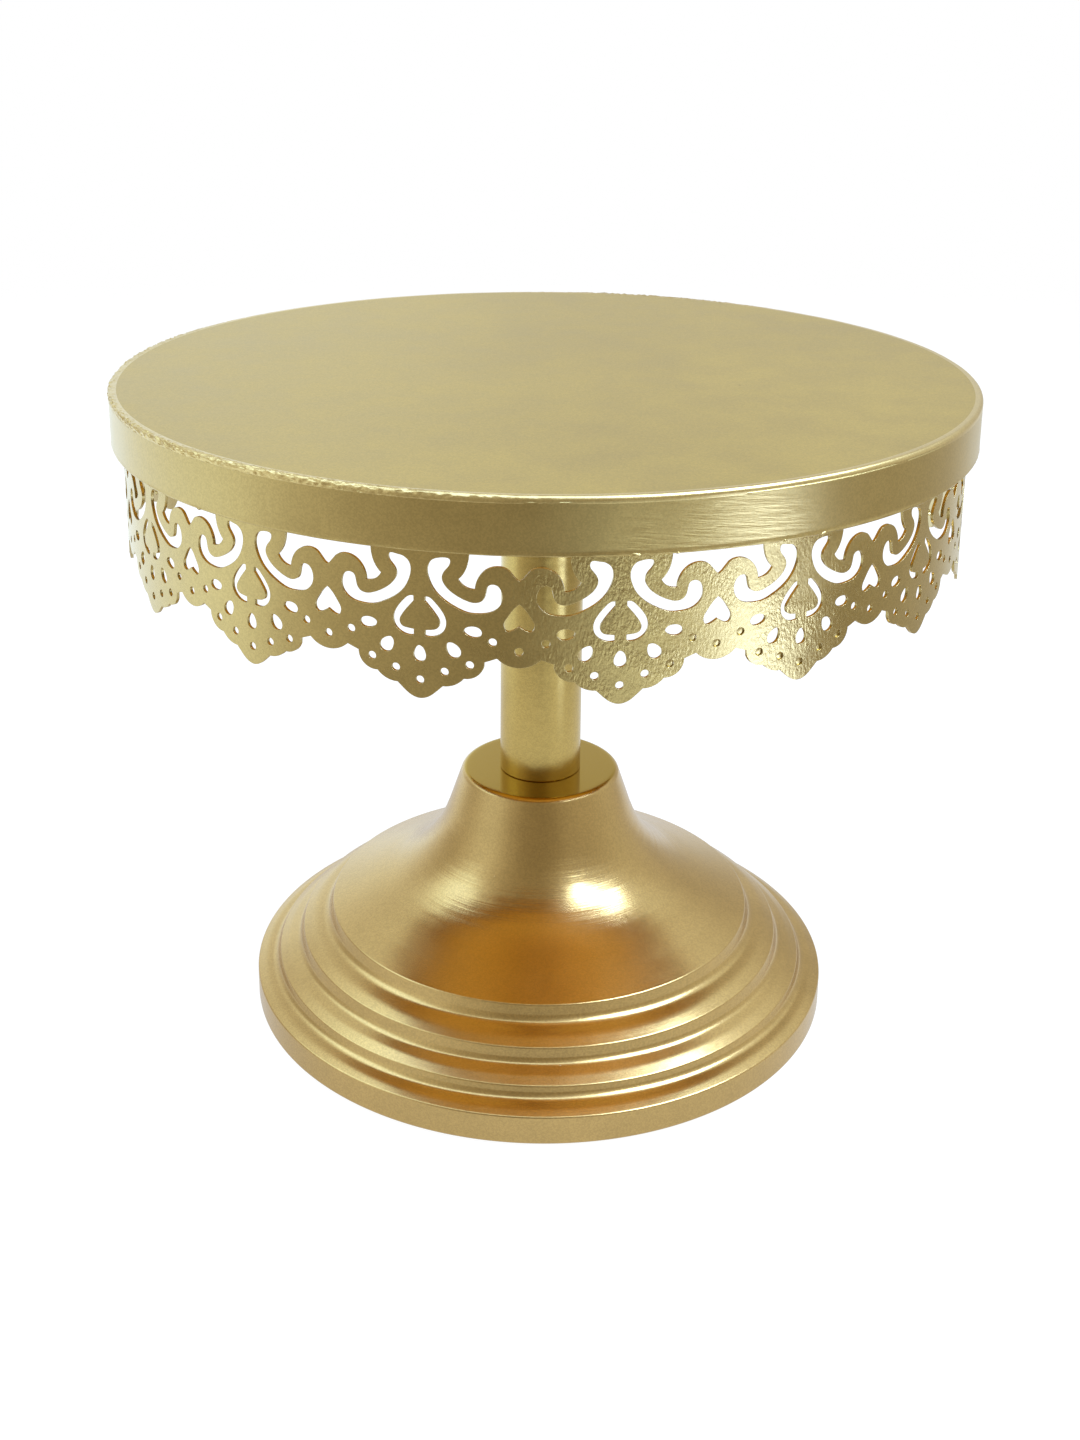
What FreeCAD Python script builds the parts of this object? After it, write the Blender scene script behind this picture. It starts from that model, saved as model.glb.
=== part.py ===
"""Pedestal cake stand: a round plate with a pierced lace skirt, a tubular column and a stepped, spun base.

Millimetres. +Z is up, the origin is the centre of the plane that the feet rest on, and the front faces -Y.
The plate screws into the column with a stud, and a bolt inside the hollow base holds the column from below.
"""
import FreeCAD, Part
import os
from math import cos, pi, radians, sin, sqrt, tan

from FreeCAD import Placement, Rotation, Vector

# ---- Driving dimensions -------------------------------------------------------------------------------

STAND_HEIGHT = 200.0

# Plate
PLATE_R = 125.0
PLATE_SHEET = 1.2
PLATE_EDGE_ROUND = 0.6
HOOP_HEIGHT = 14.6            # the whole visible band, top sheet included
HOOP_SHEET = 1.0
HOOP_EDGE_ROUND = 0.5
STIFFENER_R = 35.0
STIFFENER_SHEET = 2.0

# Lace skirt
SKIRT_R = 121.8               # outer face of the strip, which is also the inner edge of the hoop's hem
SKIRT_SHEET = 0.8
REPEATS = 16
FIRST_LOBE_DEG = 7.77         # the first large lobe, turned from the front towards +X
TACK_WELDS = 8
TACK_SIZE = 1.8
TACK_BULGE = 0.62             # how far the weld's face swells from its corner, as a share of its size
TACK_SPAN_DEG = 5.0

# Column
TUBE_R = 12.5
TUBE_WALL = 1.2
INSERT_LENGTH = 16.0

# Threads, which are modelled as plain cylinders
THREAD_R = 4.0
THREAD_CLEARANCE = 0.05
STUD_ENGAGEMENT = 10.0
CHAMFER = 0.6

# Washers and bolt
SOFT_WASHER = 1.0
WASHER_CLEARANCE = 0.2
FLAT_WASHER_R = 12.0
FLAT_WASHER_SHEET = 1.6
SPRING_WASHER_R = 7.0
SPRING_WASHER_SHEET = 2.2
SPRING_SPLIT = 1.2
SPRING_SPLIT_LEAN_DEG = 25
BOLT_HEAD_ACROSS = 13.0
BOLT_HEAD_HEIGHT = 5.3
BOLT_FACE_INSET = 0.3         # the head's flat lower face is this much smaller than the hexagon, all round
BOLT_FACE_SLOPE = 1.75        # how far the head's chamfer runs outward for each unit of height
BOLT_LENGTH = 16.0

# Base
BASE_SHEET = 0.8
BASE_FLANGE_R = 78.5          # inner edge of the in-turned flange at the foot
BASE_BOLT_HOLE_R = 4.5
NECK_TOP = 73.5
NECK_STIFFENER_R = 20.0
NECK_STIFFENER_SHEET = 2.0
PAD_R = 4.5
PAD_THICKNESS = 0.5
PAD_COUNT = 4
PAD_CIRCLE_R = 84.0

# Corners of the base's outer face from the neck down to the foot: radius, height, rounding
BASE_CORNERS = [
    (24.2, NECK_TOP, 2.0),
    (34.0, 44.6, 39.0),       # the long flare from the neck into the dome
    (58.0, 33.0, 30.0),
    (65.6, 29.5, 0.7),        # first step
    (66.8, 24.8, 2.0),
    (71.6, 23.6, 9.0),
    (75.0, 21.6, 0.7),        # second step
    (76.0, 17.7, 1.5),
    (79.8, 16.4, 8.0),
    (82.6, 14.4, 0.7),        # third step
    (83.5, 11.2, 1.5),
    (87.2, 10.6, 6.0),
    (89.8, 9.3, 0.7),         # foot band
    (89.8, PAD_THICKNESS, 1.0),
]

# Derived heights
plate_underside = STAND_HEIGHT - PLATE_SHEET
stiffener_underside = plate_underside - STIFFENER_SHEET
column_top = stiffener_underside - SOFT_WASHER
skirt_inner_r = SKIRT_R - SKIRT_SHEET
thread_bore_r = THREAD_R + THREAD_CLEARANCE
neck_sheet_underside = NECK_TOP - BASE_SHEET
neck_stiffener_underside = neck_sheet_underside - NECK_STIFFENER_SHEET
flat_washer_underside = neck_stiffener_underside - FLAT_WASHER_SHEET
bolt_seat = flat_washer_underside - SPRING_WASHER_SHEET

UP = Vector(0, 0, 1)
LEAST_ROUNDING = 0.05         # the radius of an outline's corner that states no larger one


# ---- Shape helpers ------------------------------------------------------------------------------------

def ring(outer_r, inner_r, low, high):
    """A washer-shaped solid between two heights."""
    body = Part.makeCylinder(outer_r, high - low, Vector(0, 0, low))
    if inner_r:
        body = body.cut(Part.makeCylinder(inner_r, high - low, Vector(0, 0, low)))
    return body


def turned(edges, angle=360.0):
    """The solid swept by a closed outline of edges in the XZ plane about the Z axis."""
    face = Part.Face(Part.Wire(edges))
    return face.revolve(Vector(0, 0, 0), UP, angle)


def around(shape, angle):
    """A copy of the shape turned about the Z axis, in degrees."""
    copy = shape.copy()
    copy.Placement = Placement(Vector(0, 0, 0), Rotation(UP, angle)).multiply(copy.Placement)
    return copy


def outward_normal(start, end):
    """The unit normal on the left of a step in the XZ plane, seen with X to the right and Z up."""
    step = end - start
    step.normalize()
    return Vector(-step.z, 0, step.x)


def offset_corners(corners, distance):
    """Corners of the line that runs a distance to the right of a cornered line, with matching rounding."""
    points = [Vector(r, 0, z) for r, z, _ in corners]
    normals = [outward_normal(a, b) for a, b in zip(points, points[1:])]
    moved = [(points[0] - normals[0] * distance, 0.0)]
    for before, after, point, corner in zip(normals, normals[1:], points[1:], corners[1:]):
        mitre = before + after
        mitre.multiply(distance / (1 + before.dot(after)))
        turns_right = before.cross(after).y > 0
        rounding = corner[2] - distance if turns_right else corner[2] + distance
        moved.append((point - mitre, rounding))
    moved.append((points[-1] - normals[-1] * distance, 0.0))
    return [(p.x, p.z, rounding) for p, rounding in moved]


def rounded_line(corners):
    """Edges of a cornered line in the XZ plane, with a tangent arc at each inner corner."""
    points = [Vector(r, 0, z) for r, z, _ in corners]
    edges = []
    at = points[0]
    for previous, corner, following, (_, _, wanted) in zip(points, points[1:], points[2:], corners[1:]):
        rounding = max(wanted, LEAST_ROUNDING)
        back = previous - corner
        ahead = following - corner
        back.normalize()
        ahead.normalize()
        half_angle = back.getAngle(ahead) / 2
        middle = back + ahead
        middle.normalize()
        reach = rounding / tan(half_angle)
        depth = rounding * (1 / sin(half_angle) - 1)
        start = corner + back * reach
        end = corner + ahead * reach
        edges.append(Part.makeLine(at, start))
        edges.append(Part.Arc(start, corner + middle * depth, end).toShape())
        at = end
    edges.append(Part.makeLine(at, points[-1]))
    return edges


# ---- Plate --------------------------------------------------------------------------------------------

def plate_disc():
    """The flat top sheet, with its upper edge rounded."""
    disc = Part.makeCylinder(PLATE_R, PLATE_SHEET, Vector(0, 0, plate_underside))
    top_edge = [e for e in disc.Edges if e.BoundBox.ZMin > STAND_HEIGHT - PLATE_SHEET / 2 and e.Closed]
    return disc.makeFillet(PLATE_EDGE_ROUND, top_edge)


def rim_hoop():
    """The band under the edge of the top sheet, with a hem turned in at its foot to meet the skirt."""
    low = STAND_HEIGHT - HOOP_HEIGHT
    corners = [
        (PLATE_R, plate_underside, 0),
        (PLATE_R, low, HOOP_EDGE_ROUND),
        (SKIRT_R, low, 0),
    ]
    inner_r = PLATE_R - HOOP_SHEET
    hem_top = low + HOOP_SHEET
    edges = rounded_line(corners)
    edges.append(Part.makeLine(Vector(SKIRT_R, 0, low), Vector(SKIRT_R, 0, hem_top)))
    edges.append(Part.makeLine(Vector(SKIRT_R, 0, hem_top), Vector(inner_r, 0, hem_top)))
    edges.append(Part.makeLine(Vector(inner_r, 0, hem_top), Vector(inner_r, 0, plate_underside)))
    edges.append(Part.makeLine(Vector(inner_r, 0, plate_underside), Vector(PLATE_R, 0, plate_underside)))
    return turned(edges)


def stiffener_plate():
    """The round sheet under the middle of the plate that carries the stud."""
    return ring(STIFFENER_R, THREAD_R, stiffener_underside, plate_underside)


def plate_stud():
    """The screw welded to the plate, which goes down through the soft washer into the column."""
    tip = column_top - STUD_ENGAGEMENT
    stud = Part.makeCylinder(THREAD_R, plate_underside - tip, Vector(0, 0, tip))
    low_edge = [e for e in stud.Edges if e.Closed and e.BoundBox.ZMax < tip + CHAMFER]
    return stud.makeChamfer(CHAMFER, low_edge)


def skirt_tack_welds():
    """Short fillet welds in the corner between the skirt's inner face and the underside of the plate."""
    r = skirt_inner_r
    z = plate_underside
    corner = Vector(r, 0, z)
    inward = Vector(r - TACK_SIZE, 0, z)
    down = Vector(r, 0, z - TACK_SIZE)
    bulge = Vector(r - TACK_SIZE * TACK_BULGE, 0, z - TACK_SIZE * TACK_BULGE)
    swelling = Part.Arc(inward, bulge, down).toShape()
    weld = turned([Part.makeLine(corner, inward), swelling, Part.makeLine(down, corner)], TACK_SPAN_DEG)
    return Part.makeCompound([around(weld, 360.0 * i / TACK_WELDS) for i in range(TACK_WELDS)])


# ---- Lace skirt ---------------------------------------------------------------------------------------
# The pattern is drawn on the unrolled strip. Across is the distance round the strip's outer face from the
# middle of a lobe, and down is the distance below the top of the plate. Each repeat is mirror-symmetric.

PITCH = 2 * pi * SKIRT_R / REPEATS
PATTERN_PITCH = 47.36         # the drawn pattern's own repeat, which is stretched to PITCH
CUT_MARGIN = 1.5              # how far a cutter stands clear of the strip on each side
SKIRT_BOTTOM = 54.0           # the blank strip's lower edge, just past the tips of the lobes
DOT_R = 1.03
EGG_POINTS = 10

SCROLL = [
    (4.2, 17.0), (2.7, 18.0), (2.0, 20.0), (2.4, 22.4), (3.7, 25.0), (6.0, 27.3), (9.0, 29.1), (11.7, 30.1),
    (14.2, 30.2), (17.3, 29.5), (19.3, 27.6), (19.7, 25.3), (18.1, 22.8), (16.6, 23.0), (15.8, 25.3),
    (15.0, 26.9), (13.2, 27.5), (11.6, 27.2), (8.7, 25.8), (6.3, 23.7), (5.5, 21.7), (6.1, 20.0),
    (7.3, 18.4), (7.4, 17.1), (5.9, 16.7),
]
SPADE_OUTER = [
    (1.4, 26.8), (2.2, 26.8), (3.8, 28.0), (5.4, 30.0), (6.4, 32.2), (6.2, 34.4), (4.6, 36.2), (1.4, 36.7),
]
SPADE_INNER = [(1.4, 35.2), (3.2, 35.0), (4.5, 34.4), (4.9, 33.2), (4.3, 31.7), (3.0, 29.9), (1.4, 28.0)]
CROWN_SIDE = [(11.9, 13.6), (11.9, 16.8), (11.2, 19.4), (9.4, 21.9)]
CROWN_FOOT = [(9.4, 21.9), (11.0, 23.6), (13.3, 24.2)]
CROWN_ARCH = [
    (13.3, 24.2), (14.0, 21.4), (16.0, 19.1), (18.5, 18.3), (20.9, 18.9), (22.5, 20.7), (23.68, 21.7),
]
HEART = [(23.68, 27.4), (22.3, 28.7), (21.0, 30.6), (20.1, 32.9), (20.8, 34.2), (22.3, 33.9), (23.68, 33.0)]
SMALL_LOBE = [(18.5, 41.2), (23.68, 43.4)]
SHOULDER = (15.6, 42.3)
SCALLOPS = [[SHOULDER, (14.3, 45.5), (10.7, 46.8)], [(10.7, 46.8), (8.8, 48.4), (5.6, 49.15)]]
TIP = [(5.6, 49.15), (4.0, 50.7), (2.4, 52.0), (0.0, 52.75)]
SPLAY = 0.65                  # how far an outline cutter widens below its last corner

# Drops: across, down, length, width, tilt from vertical in degrees, how much narrower the top end is
DROPS = [
    (0.0, 41.3, 4.2, 3.0, 0.0, 0.22),
    (8.1, 39.7, 4.3, 3.2, 33.0, 0.2),
    (12.8, 34.8, 4.3, 2.8, 84.0, 0.1),
]
DOTS = [(0.0, 48.0), (6.0, 45.4), (12.05, 43.25), (17.45, 37.15), (23.68, 39.3)]


def on_strip(point, middle=0.0):
    """A drawn point, on the flat plane that touches the strip's outer face in front of the given middle."""
    across = (point[0] - middle) * PITCH / PATTERN_PITCH
    return Vector(SKIRT_R * sin(across / SKIRT_R), 0, STAND_HEIGHT - point[1])


def mirrored(points, middle=0.0):
    """The same stretch of outline on the other side of a middle, in the running order that closes it."""
    return [(2 * middle - across, down) for across, down in reversed(points)]


def curve(points, middle=0.0, closed=False):
    """A smooth curve through drawn points."""
    spline = Part.BSplineCurve()
    spline.interpolate([on_strip(p, middle) for p in points], PeriodicFlag=closed)
    return spline.toShape()


def arc(points, middle=0.0):
    """An arc through three drawn points."""
    return Part.Arc(*[on_strip(p, middle) for p in points]).toShape()


def line(start, end, middle=0.0):
    """A straight edge between two drawn points."""
    return Part.makeLine(on_strip(start, middle), on_strip(end, middle))


def cutter(edges):
    """A prism through the front of the strip, from the outline of an opening."""
    curving_away = SKIRT_R * (1 - cos(pi / REPEATS))
    depth = SKIRT_SHEET + curving_away + 2 * CUT_MARGIN
    prism = Part.Face(Part.Wire(edges)).extrude(Vector(0, depth, 0))
    prism.translate(Vector(0, -SKIRT_R - CUT_MARGIN, 0))
    return prism


def egg(across, down, length, width, tilt, taper):
    """A drop-shaped opening, narrower at its upper end."""
    points = []
    lean = radians(tilt)
    for i in range(EGG_POINTS):
        turn = 2 * pi * i / EGG_POINTS
        along = length / 2 * cos(turn)
        side = width / 2 * sin(turn) * (1 - taper * cos(turn))
        x = across + side * cos(lean) - along * sin(lean)
        z = down - side * sin(lean) - along * cos(lean)
        points.append((x, z))
    return cutter([curve(points, closed=True)])


def dot(across, down, middle=0.0):
    """A round hole."""
    centre = on_strip((across, down), middle)
    circle = Part.Circle(centre, Vector(0, 1, 0), DOT_R)
    return cutter([circle.toShape()])


def scroll(points):
    """A C-shaped opening beside the stem of a lobe."""
    return cutter([curve(points, closed=True)])


def spade_slot(outer, inner):
    """One side of the slot that draws a spade round the stem of a lobe."""
    edges = [curve(outer), line(outer[-1], inner[0]), curve(inner), line(inner[-1], outer[0])]
    return cutter(edges)


def crown():
    """The tall opening between two lobes. Its top is behind the hoop."""
    m = PATTERN_PITCH / 2
    near = [CROWN_SIDE, CROWN_FOOT, CROWN_ARCH]
    far = [mirrored(stretch, m) for stretch in reversed(near)]
    edges = [curve(stretch, m) for stretch in near + far]
    edges.append(line(far[-1][-1], near[0][0], m))
    return cutter(edges)


def heart():
    """The upside-down heart over a small lobe."""
    m = PATTERN_PITCH / 2
    return cutter([curve(HEART, m), curve(mirrored(HEART, m), m)])


def below_large_lobe():
    """What is cut away under a large lobe: two scallops and the tip on each side."""
    tip = TIP + mirrored(TIP)[1:]
    floor = SKIRT_BOTTOM + 1
    left = (-SHOULDER[0] - SPLAY, floor)
    right = (SHOULDER[0] + SPLAY, floor)
    edges = [arc(scallop) for scallop in SCALLOPS]
    edges.append(curve(tip))
    edges += [arc(mirrored(scallop)) for scallop in reversed(SCALLOPS)]
    edges += [line((-SHOULDER[0], SHOULDER[1]), left), line(left, right), line(right, SHOULDER)]
    return cutter(edges)


def below_small_lobe():
    """What is cut away under a small lobe, between the shoulders of its neighbours."""
    m = PATTERN_PITCH / 2
    floor = SKIRT_BOTTOM + 1
    far_lobe = mirrored(SMALL_LOBE, m)[-1]
    far_shoulder = mirrored([SHOULDER], m)[0]
    left = (SHOULDER[0] - SPLAY, floor)
    right = (far_shoulder[0] + SPLAY, floor)
    edges = [
        line(SHOULDER, SMALL_LOBE[0], m),
        arc([SMALL_LOBE[0], SMALL_LOBE[1], far_lobe], m),
        line(far_lobe, far_shoulder, m),
        line(far_shoulder, right, m),
        line(right, left, m),
        line(left, SHOULDER, m),
    ]
    return cutter(edges)


def repeat_cutters():
    """The cutters of one repeat, facing the front: those of the large lobe, then those of the small one."""
    half_pattern = PATTERN_PITCH / 2
    large = [below_large_lobe(), scroll(SCROLL), scroll(mirrored(SCROLL))]
    large.append(spade_slot(SPADE_OUTER, SPADE_INNER))
    large.append(spade_slot(mirrored(SPADE_INNER), mirrored(SPADE_OUTER)))
    for across, down, length, width, tilt, taper in DROPS:
        large.append(egg(across, down, length, width, tilt, taper))
        if across:
            large.append(egg(-across, down, length, width, -tilt, taper))
    small = [below_small_lobe(), crown(), heart()]
    for across, down in DOTS:
        if across == 0.0:
            large.append(dot(across, down))
        elif across < half_pattern:
            large += [dot(across, down), dot(-across, down)]
        else:
            small.append(dot(across, down, half_pattern))
    return large, small


def lace_skirt():
    """The pierced strip that hangs inside the hoop."""
    strip = ring(SKIRT_R, skirt_inner_r, STAND_HEIGHT - SKIRT_BOTTOM, plate_underside)
    large, small = repeat_cutters()
    tools = []
    for i in range(REPEATS):
        lobe = FIRST_LOBE_DEG + i * 360.0 / REPEATS
        tools += [around(tool, lobe) for tool in large]
        tools += [around(tool, lobe + 180.0 / REPEATS) for tool in small]
    return strip.cut(tools)


# ---- Column -------------------------------------------------------------------------------------------

def column_tube():
    return ring(TUBE_R, TUBE_R - TUBE_WALL, NECK_TOP, column_top)


def thread_insert(low, mouth_up):
    """A plug pressed into an end of the tube, with a tapped hole chamfered at its mouth."""
    plug = ring(TUBE_R - TUBE_WALL, thread_bore_r, low, low + INSERT_LENGTH)
    mouth = low + INSERT_LENGTH if mouth_up else low
    circles = [e for e in plug.Edges if e.Closed and abs(e.BoundBox.ZMin - mouth) < CHAMFER]
    lip = min(circles, key=lambda circle: circle.Length)
    return plug.makeChamfer(CHAMFER, [lip])


def column_top_insert():
    return thread_insert(column_top - INSERT_LENGTH, True)


def column_foot_insert():
    return thread_insert(NECK_TOP, False)


def plate_washer():
    """The soft washer between the column and the plate."""
    return ring(TUBE_R, THREAD_R + WASHER_CLEARANCE, column_top, stiffener_underside)


# ---- Base ---------------------------------------------------------------------------------------------

def base_shell():
    """The spun sheet: a flat neck, a flare and dome, three steps and a foot band turned in at its edge."""
    outer = [(BASE_BOLT_HOLE_R, NECK_TOP, 0)] + BASE_CORNERS + [(BASE_FLANGE_R, PAD_THICKNESS, 0)]
    inner = offset_corners(outer, BASE_SHEET)
    edges = rounded_line(outer)
    edges += rounded_line(inner)
    for end in (0, -1):
        a = outer[end]
        b = inner[end]
        edges.append(Part.makeLine(Vector(a[0], 0, a[1]), Vector(b[0], 0, b[1])))
    return turned(Part.__sortEdges__(edges))


def neck_stiffener():
    return ring(NECK_STIFFENER_R, BASE_BOLT_HOLE_R, neck_stiffener_underside, neck_sheet_underside)


def foot_pads():
    """Thin round pads stuck under the turned-in edge of the foot band."""
    pad = Part.makeCylinder(PAD_R, PAD_THICKNESS, Vector(PAD_CIRCLE_R, 0, 0))
    return Part.makeCompound([around(pad, 360.0 * (i + 0.5) / PAD_COUNT) for i in range(PAD_COUNT)])


# ---- Bolt and washers under the base ------------------------------------------------------------------

def flat_washer():
    return ring(FLAT_WASHER_R, THREAD_R + WASHER_CLEARANCE, flat_washer_underside, neck_stiffener_underside)


def spring_washer():
    """A split ring, closed flat under the bolt's head."""
    body = ring(SPRING_WASHER_R, THREAD_R + WASHER_CLEARANCE, bolt_seat, flat_washer_underside)
    height = SPRING_WASHER_SHEET * 2
    gap = Part.makeBox(SPRING_WASHER_R * 2, SPRING_SPLIT, height, Vector(0, -SPRING_SPLIT / 2, -height / 2))
    gap.rotate(Vector(0, 0, 0), Vector(1, 0, 0), SPRING_SPLIT_LEAN_DEG)
    gap.translate(Vector(0, 0, (bolt_seat + flat_washer_underside) / 2))
    return body.cut(gap)


def base_bolt():
    """A hexagon-head screw that goes up through the neck into the column."""
    corner_r = BOLT_HEAD_ACROSS / sqrt(3)
    low = bolt_seat - BOLT_HEAD_HEIGHT
    points = [Vector(corner_r * cos(pi * i / 3), corner_r * sin(pi * i / 3), low) for i in range(7)]
    head = Part.Face(Part.makePolygon(points)).extrude(Vector(0, 0, BOLT_HEAD_HEIGHT))
    face_r = BOLT_HEAD_ACROSS / 2 - BOLT_FACE_INSET
    seat_r = face_r + BOLT_HEAD_HEIGHT * BOLT_FACE_SLOPE
    head = head.common(Part.makeCone(face_r, seat_r, BOLT_HEAD_HEIGHT, Vector(0, 0, low)))
    shank = Part.makeCylinder(THREAD_R, BOLT_LENGTH, Vector(0, 0, bolt_seat))
    tip = bolt_seat + BOLT_LENGTH
    tip_edge = [e for e in shank.Edges if e.Closed and e.BoundBox.ZMin > tip - CHAMFER]
    return head.fuse(shank.makeChamfer(CHAMFER, tip_edge))


# ---- Every piece, one file each -----------------------------------------------------------------------

NODES = [
    plate_disc, rim_hoop, lace_skirt, skirt_tack_welds, stiffener_plate, plate_stud, plate_washer,
    column_tube, column_top_insert, column_foot_insert, base_shell, neck_stiffener, foot_pads,
    flat_washer, spring_washer, base_bolt,
]

os.makedirs("parts", exist_ok=True)
for make in NODES:
    shape = make()
    shape.exportStep("parts/" + make.__name__ + ".step")
    state = "valid" if shape.isValid() else "NOT VALID"
    print(make.__name__, len(shape.Solids), "solids", round(shape.Volume), "mm3", state)
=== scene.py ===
"""Looks for a gold-painted pedestal cake stand: turned and pierced sheet metal in satin metallic paint."""
import math

import bmesh
import bpy
import numpy as np
from mathutils import Matrix, Vector

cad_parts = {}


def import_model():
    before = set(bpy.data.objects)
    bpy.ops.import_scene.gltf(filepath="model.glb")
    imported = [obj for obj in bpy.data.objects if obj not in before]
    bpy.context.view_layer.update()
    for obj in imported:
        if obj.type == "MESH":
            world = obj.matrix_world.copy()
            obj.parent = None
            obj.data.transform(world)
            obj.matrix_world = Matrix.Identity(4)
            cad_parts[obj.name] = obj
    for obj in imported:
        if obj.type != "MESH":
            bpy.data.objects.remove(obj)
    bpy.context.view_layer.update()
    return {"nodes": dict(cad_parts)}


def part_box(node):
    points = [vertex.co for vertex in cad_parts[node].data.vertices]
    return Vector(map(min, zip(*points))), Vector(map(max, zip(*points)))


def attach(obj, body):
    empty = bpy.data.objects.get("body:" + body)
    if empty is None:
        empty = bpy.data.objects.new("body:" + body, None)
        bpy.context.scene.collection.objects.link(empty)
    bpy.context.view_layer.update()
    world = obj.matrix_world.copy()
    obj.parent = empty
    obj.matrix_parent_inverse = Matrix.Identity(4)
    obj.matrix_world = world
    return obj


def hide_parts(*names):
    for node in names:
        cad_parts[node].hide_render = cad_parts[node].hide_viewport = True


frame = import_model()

MM = 0.001
NODES = frame["nodes"]

# ---- Places taken from the frame, in millimetres ------------------------------------------------------


def box_mm(node):
    """A node's lowest and highest corners in millimetres."""
    low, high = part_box(node)
    return np.array(low) / MM, np.array(high) / MM


disc_low, disc_high = box_mm("plate_disc")
hoop_low, _ = box_mm("rim_hoop")
_, skirt_high = box_mm("lace_skirt")
tube_low, tube_high = box_mm("column_tube")
stud_low, stud_high = box_mm("plate_stud")
bolt_low, bolt_high = box_mm("base_bolt")
spring_low, _ = box_mm("spring_washer")
PLATE_R = disc_high[0]
PLATE_TOP = disc_high[2]
PLATE_UNDER = disc_low[2]
HOOP_FOOT = hoop_low[2]
SKIRT_R = skirt_high[0]
SKIRT_SHEET = 0.8
THREAD_R = stud_high[0]
THREAD_PITCH = 1.25
FRONT_LOBE_DEG = 7.77         # the middle of the lobe next to the front, towards +X
LOBE_STEP_DEG = 22.5
PATTERN_STRETCH = 1.01        # the strip's own length over the drawn length of its pattern


# ---- Mesh helpers -------------------------------------------------------------------------------------

def add_mesh(name, points, faces, body, material, stands_for=()):
    """A smooth-shaded piece, from points in millimetres, that rides on a body and may stand for CAD nodes."""
    mesh = bpy.data.meshes.new(name)
    mesh.from_pydata((np.array(points, float) * MM).tolist(), [], faces)
    mesh.validate()
    mesh.polygons.foreach_set("use_smooth", [True] * len(mesh.polygons))
    piece = bpy.data.objects.new(name, mesh)
    bpy.context.scene.collection.objects.link(piece)
    mesh.materials.append(material)
    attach(piece, body)
    if stands_for:
        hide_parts(*stands_for)
    return piece


def weigh_normals(piece):
    """Large faces keep their own normals beside small rounded edges."""
    piece.modifiers.new("flat faces stay flat", "WEIGHTED_NORMAL").keep_sharp = True


def rounded(corners, step_deg=9.0):
    """Points of a cornered line of (radius, height, rounding), with arcs at its inner corners."""
    points = [np.array(c[:2], float) for c in corners]
    line = [points[0]]
    for before, corner, after, (_, _, rounding) in zip(points, points[1:], points[2:], corners[1:]):
        if not rounding:
            line.append(corner)
            continue
        back = (before - corner) / np.linalg.norm(before - corner)
        ahead = (after - corner) / np.linalg.norm(after - corner)
        half = math.acos(np.clip(back @ ahead, -1, 1)) / 2
        middle = (back + ahead) / np.linalg.norm(back + ahead)
        centre = corner + middle * rounding / math.sin(half)
        start = corner + back * rounding / math.tan(half) - centre
        end = corner + ahead * rounding / math.tan(half) - centre
        turn = math.pi - 2 * half
        count = max(3, math.ceil(math.degrees(turn) / step_deg))
        for i in range(count + 1):
            t = i / count
            arm = start * math.sin(turn * (1 - t)) + end * math.sin(turn * t)
            line.append(centre + arm / math.sin(turn))
    line.append(points[-1])
    return line


def spread(line, longest):
    """The same line of points, with further points so that no stretch is longer than the given length."""
    full = [line[0]]
    for a, b in zip(line, line[1:]):
        parts = max(1, math.ceil(np.linalg.norm(b - a) / longest))
        full += [a + (b - a) * i / parts for i in range(1, parts + 1)]
    return full


def turned(profile, segments, closed=False, shape=None):
    """Points and faces of a (radius, height) profile turned about Z; shape moves (radius, angle, height).

    Angles run from the front towards +X.
    """
    profile = np.array(profile, float)
    count = len(profile)
    turn = np.arange(segments) * 2 * math.pi / segments
    radius = np.repeat(profile[None, :, 0], segments, 0)
    height = np.repeat(profile[None, :, 1], segments, 0)
    angle = np.repeat(turn[:, None], count, 1)
    if shape:
        radius, height = shape(radius, angle, height)
    points = np.stack([radius * np.sin(angle), -radius * np.cos(angle), height], -1).reshape(-1, 3)
    faces = []
    last = count if closed else count - 1
    for s in range(segments):
        t = (s + 1) % segments
        for k in range(last):
            m = (k + 1) % count
            faces.append((s * count + k, t * count + k, t * count + m, s * count + m))
    return points, faces


def wave(angle, seed, low, high, count):
    """A smooth random wave round a circle, about 1 high, from whole numbers of ripples."""
    random = np.random.default_rng(seed)
    total = np.zeros_like(angle)
    for _ in range(count):
        ripples = random.integers(low, high)
        total += np.sin(ripples * angle + random.uniform(0, 2 * math.pi))
    return total / math.sqrt(count)


def grains(shape, seed, every):
    """Smooth random grains, 0 to 1, on a (round, across) grid with one grain per given number of steps."""
    random = np.random.default_rng(seed)
    rounds = shape[0] // every
    field = random.random((rounds, shape[1]))
    at = np.arange(shape[0]) / every
    low = np.floor(at).astype(int) % rounds
    share = (at - np.floor(at))[:, None]
    share = share * share * (3 - 2 * share)
    return field[low] * (1 - share) + field[(low + 1) % rounds] * share


def facing(angle, centre_deg, width_deg):
    """1 where an angle is at the given place round the stand, falling smoothly to 0 at its half-width."""
    away = np.degrees(np.abs((angle - math.radians(centre_deg) + math.pi) % (2 * math.pi) - math.pi))
    near = np.clip(1 - away / width_deg, 0, 1)
    return near * near * (3 - 2 * near)


# ---- Material helpers ---------------------------------------------------------------------------------

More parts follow.
